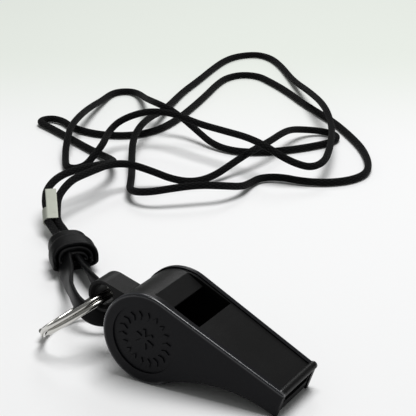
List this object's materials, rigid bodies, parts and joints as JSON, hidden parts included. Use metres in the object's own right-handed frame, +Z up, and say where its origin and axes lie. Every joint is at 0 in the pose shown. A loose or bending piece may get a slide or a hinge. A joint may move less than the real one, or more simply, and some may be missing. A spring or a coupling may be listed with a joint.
{
  "type": "pea whistle",
  "caption": "Plastic pea whistle with a cork ball in its round drum, hung by a split ring and a flat strap on a black cord lanyard.",
  "frame": {"origin": "the point on which the drum rests, under the middle of the drum's axis", "axes": "+X towards the mouthpiece, +Y along the drum's axis towards the right side plate, +Z up"},
  "size_m": [0.1758, 0.2688, 0.023],
  "materials": {
    "barrel_plastic": "fine moulded texture",
    "side_plastic": "satin",
    "block_plastic": "satin",
    "cork": "natural cork",
    "ring_steel": "nickel plated",
    "strap_vinyl": "smooth, slightly glossy",
    "ferrule_metal": "satin",
    "cord_braid": "braided polyester"
  },
  "bodies": {
    "whistle": {"barrel_shell": "barrel_plastic", "side_plate_left": "side_plastic", "side_plate_right": "side_plastic", "windway_block": "block_plastic", "strap_loop": "strap_vinyl", "ferrule": "ferrule_metal", "neck_cord": "cord_braid"},
    "ring": {"split_ring": "ring_steel"},
    "pea": {"pea": "cork"}
  },
  "joints": [
    {"name": "pea_roll", "type": "hinge", "parent": "whistle", "child": "pea", "pos_m": [0, 0, 0.0115], "axis": [0, 1, 0], "continuous": true},
    {"name": "ring_spin", "type": "hinge", "parent": "whistle", "child": "ring", "pos_m": [-0.02551, 0.00207, 0.0086], "axis": [-0.6018, 0, 0.7986], "continuous": true}
  ]
}
